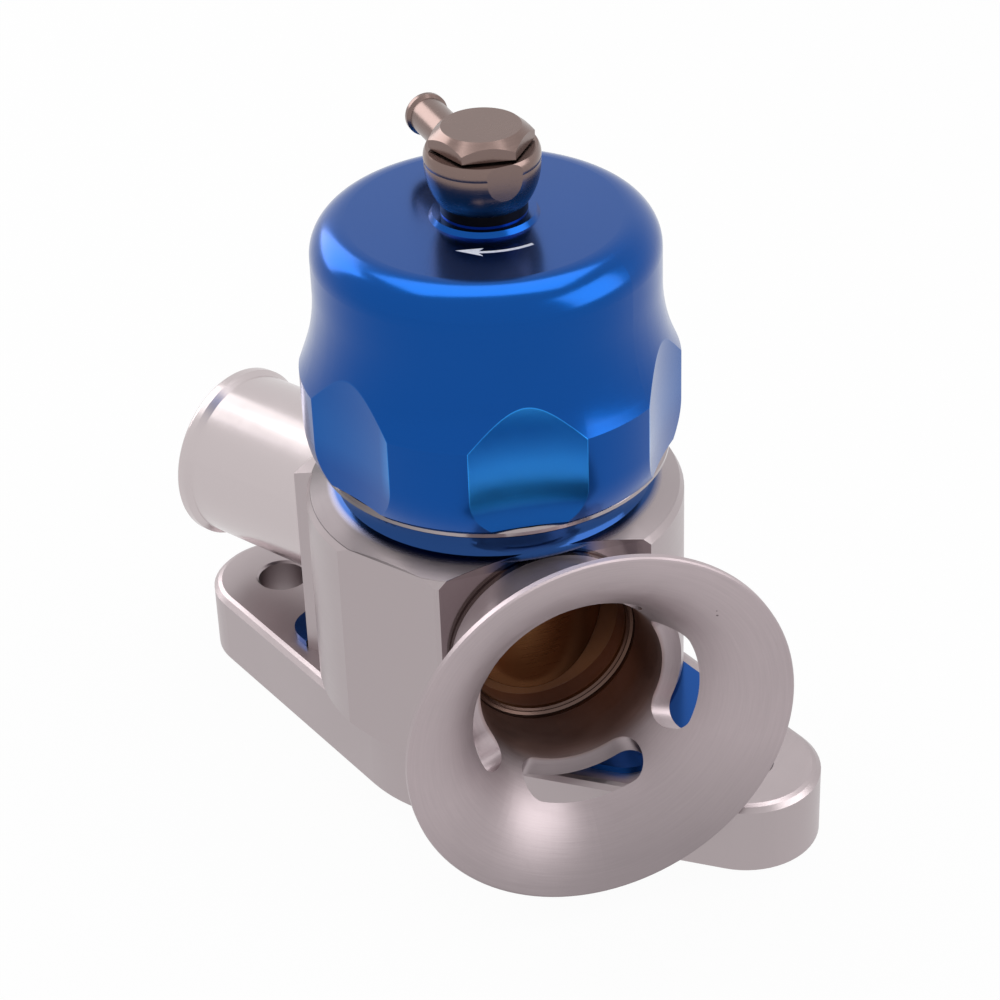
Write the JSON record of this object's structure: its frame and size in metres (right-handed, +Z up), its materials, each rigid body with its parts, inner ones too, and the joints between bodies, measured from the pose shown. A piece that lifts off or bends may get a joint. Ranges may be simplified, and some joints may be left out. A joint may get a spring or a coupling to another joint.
{
  "type": "blow off valve",
  "caption": "Blow off valve with a bolted flange, a turning preload cap, a sprung piston, a banjo vacuum fitting, a recirculation spout and a slotted trumpet.",
  "frame": {"origin": "centre of the valve's axis on the flat underside of the flange", "axes": "+Z up along the valve's axis, X along the line through the bolt holes, the recirculation spout along -X, the trumpet between +X and -Y"},
  "size_m": [0.1196, 0.0848, 0.1113],
  "materials": {
    "machined_aluminium": "turned and milled",
    "blue_anodising": "satin anodised",
    "bronze": "turned",
    "spring_steel": "drawn wire",
    "nickel_plate": "plated and dulled",
    "steel": "ground",
    "copper_washer": "annealed",
    "seal_rubber": "matt",
    "wear_plastic": "matt",
    "plain_aluminium": "turned"
  },
  "bodies": {
    "housing": {"valve_body": "machined_aluminium", "recirculation_spout": "machined_aluminium", "spout_oring": "seal_rubber", "trumpet": "machined_aluminium", "trumpet_oring": "seal_rubber", "base_oring": "seal_rubber", "cap_oring": "seal_rubber", "guide_pins": "steel", "foot_pads": "blue_anodising", "outer_spring": "spring_steel", "inner_spring": "spring_steel"},
    "cap": {"cap": "blue_anodising", "retaining_ring": "spring_steel", "banjo_bolt": "nickel_plate", "sealing_washers": "copper_washer"},
    "seat": {"spring_seat": "plain_aluminium", "thrust_plate": "steel"},
    "piston": {"piston": "bronze", "piston_orings": "seal_rubber", "seat_oring": "seal_rubber", "wear_band": "wear_plastic"},
    "fitting": {"banjo_ring": "nickel_plate", "hose_nipple": "nickel_plate"}
  },
  "joints": [
    {"name": "piston_lift", "type": "slide", "parent": "housing", "child": "piston", "axis": [0, 0, 1], "range_m": [0, 0.012], "stiffness_N_per_m": 6000, "springref_m": -0.006, "deforming": ["outer_spring", "inner_spring"]},
    {"name": "cap_turn", "type": "hinge", "parent": "housing", "child": "cap", "pos_m": [0, 0, 0.08], "axis": [0, 0, -1], "range_deg": [0, 540]},
    {"name": "seat_travel", "type": "slide", "parent": "housing", "child": "seat", "axis": [0, 0, -1], "range_m": [0, 0.006]},
    {"name": "fitting_swivel", "type": "hinge", "parent": "cap", "child": "fitting", "pos_m": [0, 0, 0.104], "axis": [0, 0, 1], "continuous": true}
  ],
  "couplings": [
    {"joint": "seat_travel", "follows": "cap_turn", "m_per_rad": 0.000636}
  ]
}
